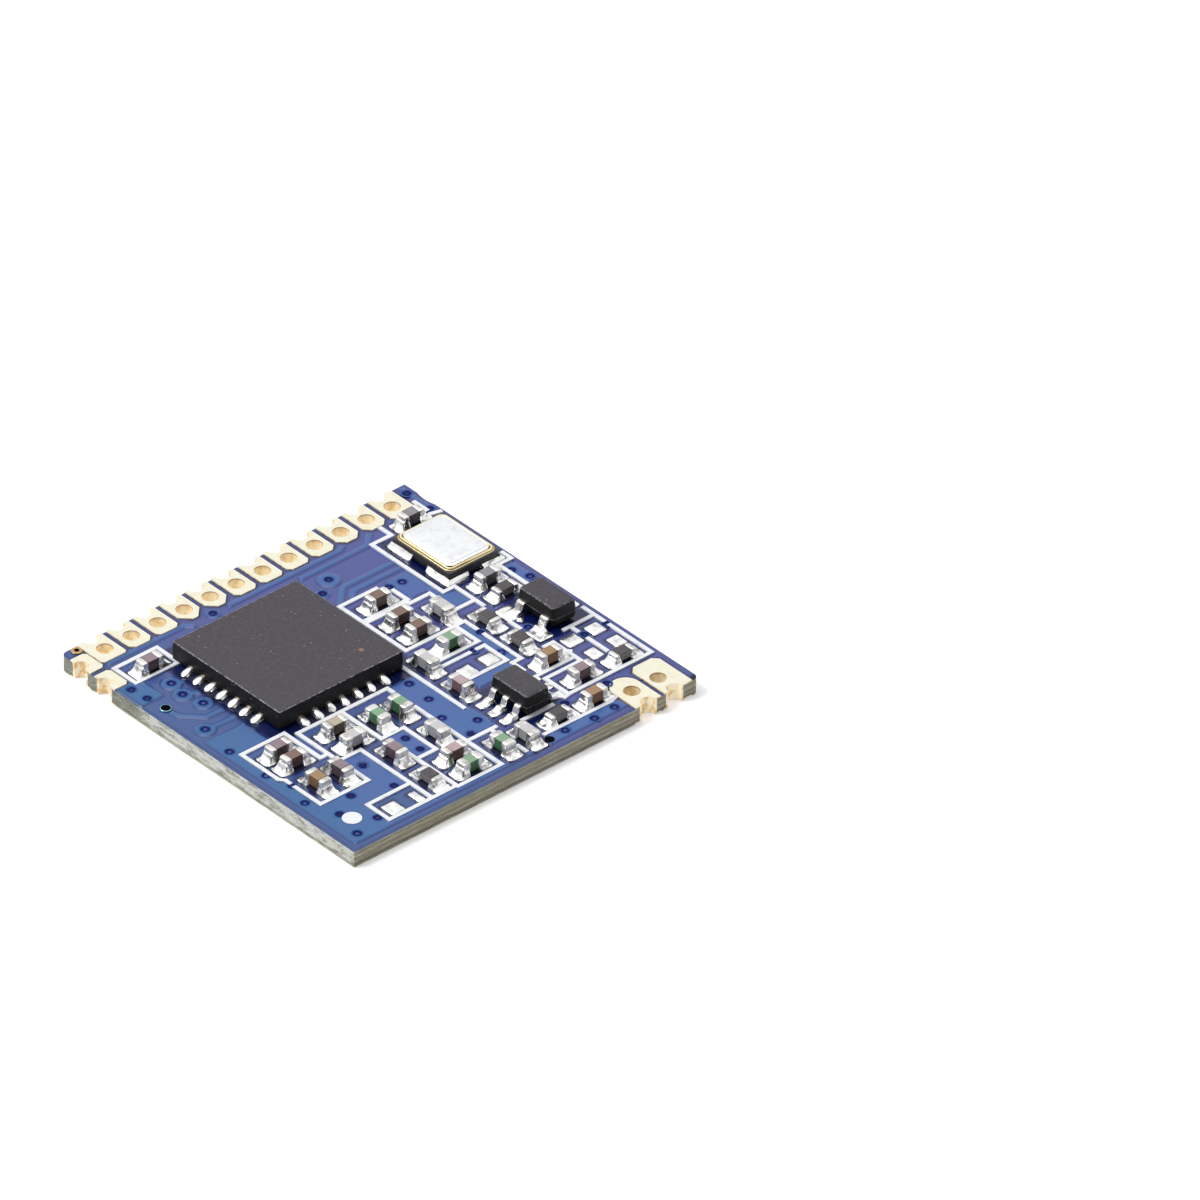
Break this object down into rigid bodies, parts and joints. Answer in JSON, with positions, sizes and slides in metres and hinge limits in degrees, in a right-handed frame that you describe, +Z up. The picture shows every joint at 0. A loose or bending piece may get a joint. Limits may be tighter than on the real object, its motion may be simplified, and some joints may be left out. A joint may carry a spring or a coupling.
{
  "type": "radio module",
  "caption": "Small square radio module: a blue circuit board with castellated edge contacts, a leadless transceiver chip, a crystal and small chip parts on its top face.",
  "frame": {"origin": "middle of the underside, on the surface that the module rests on", "axes": "+Z up out of the side with the parts, +X along the front edge towards the radio output contacts, +Y towards the long row of contacts"},
  "size_m": [0.0168, 0.0164, 0.0016],
  "materials": {
    "laminate": "sawn glass-fibre laminate",
    "contact_gold": "pale bright gold plating",
    "coating": "smooth blue solder-resist lacquer",
    "legend_ink": "white printed ink",
    "solder": "bright solder",
    "tinned": "tinned metal",
    "resistor_body": "white alumina",
    "resistor_glass": "dark overcoat",
    "inductor_green": "green glazed ceramic",
    "inductor_grey": "pale grey ceramic",
    "capacitor_brown": "brown ceramic",
    "capacitor_tan": "tan ceramic",
    "capacitor_mauve": "mauve brown ceramic",
    "capacitor_grey": "grey ceramic",
    "capacitor_beige": "beige ceramic",
    "mould": "black moulding compound",
    "crystal_ceramic": "dark ceramic",
    "seal_gold": "gold-plated seal ring",
    "lid_metal": "satin nickel-iron lid"
  },
  "bodies": {
    "root": {"bare_lands": "tinned", "board_laminate": "laminate", "bottom_coating": "coating", "capacitor_c01": "capacitor_mauve", "capacitor_c02": "capacitor_brown", "capacitor_c03": "capacitor_tan", "capacitor_c04": "capacitor_mauve", "capacitor_c05": "capacitor_beige", "capacitor_c06": "capacitor_mauve", "capacitor_c07": "capacitor_brown", "capacitor_c08": "capacitor_tan", "capacitor_c09": "capacitor_tan", "capacitor_c10": "capacitor_mauve", "capacitor_c11": "capacitor_grey", "capacitor_c12": "capacitor_grey", "capacitor_c13": "capacitor_brown", "capacitor_c14": "capacitor_brown", "capacitor_c15": "capacitor_brown", "capacitor_c16": "capacitor_mauve", "capacitor_c17": "capacitor_mauve", "capacitor_end_caps": "tinned", "crystal_base": "crystal_ceramic", "crystal_lid": "lid_metal", "crystal_pads": "contact_gold", "crystal_seal_ring": "seal_gold", "inductor_end_caps": "tinned", "inductor_l01": "inductor_grey", "inductor_l02": "inductor_green", "inductor_l03": "inductor_green", "inductor_l04": "inductor_grey", "inductor_l05": "inductor_green", "inductor_l06": "inductor_green", "inductor_l07": "inductor_grey", "inductor_l08": "inductor_grey", "inductor_l09": "inductor_green", "inductor_l10": "inductor_grey", "legend": "legend_ink", "radio_output_contacts": "contact_gold", "radio_switch_body": "mould", "radio_switch_leads": "tinned", "regulator_body": "mould", "regulator_leads": "tinned", "resistor_end_caps": "tinned", "resistor_overcoats": "resistor_glass", "resistor_r01": "resistor_body", "resistor_r02": "resistor_body", "resistor_r03": "resistor_body", "resistor_r04": "resistor_body", "resistor_r05": "resistor_body", "resistor_r06": "resistor_body", "row_contacts": "contact_gold", "side_contacts": "contact_gold", "solder_joints": "solder", "top_coating": "coating", "transceiver_body": "mould", "transceiver_ground_pad": "tinned", "transceiver_terminals": "tinned"}
  },
  "joints": []
}
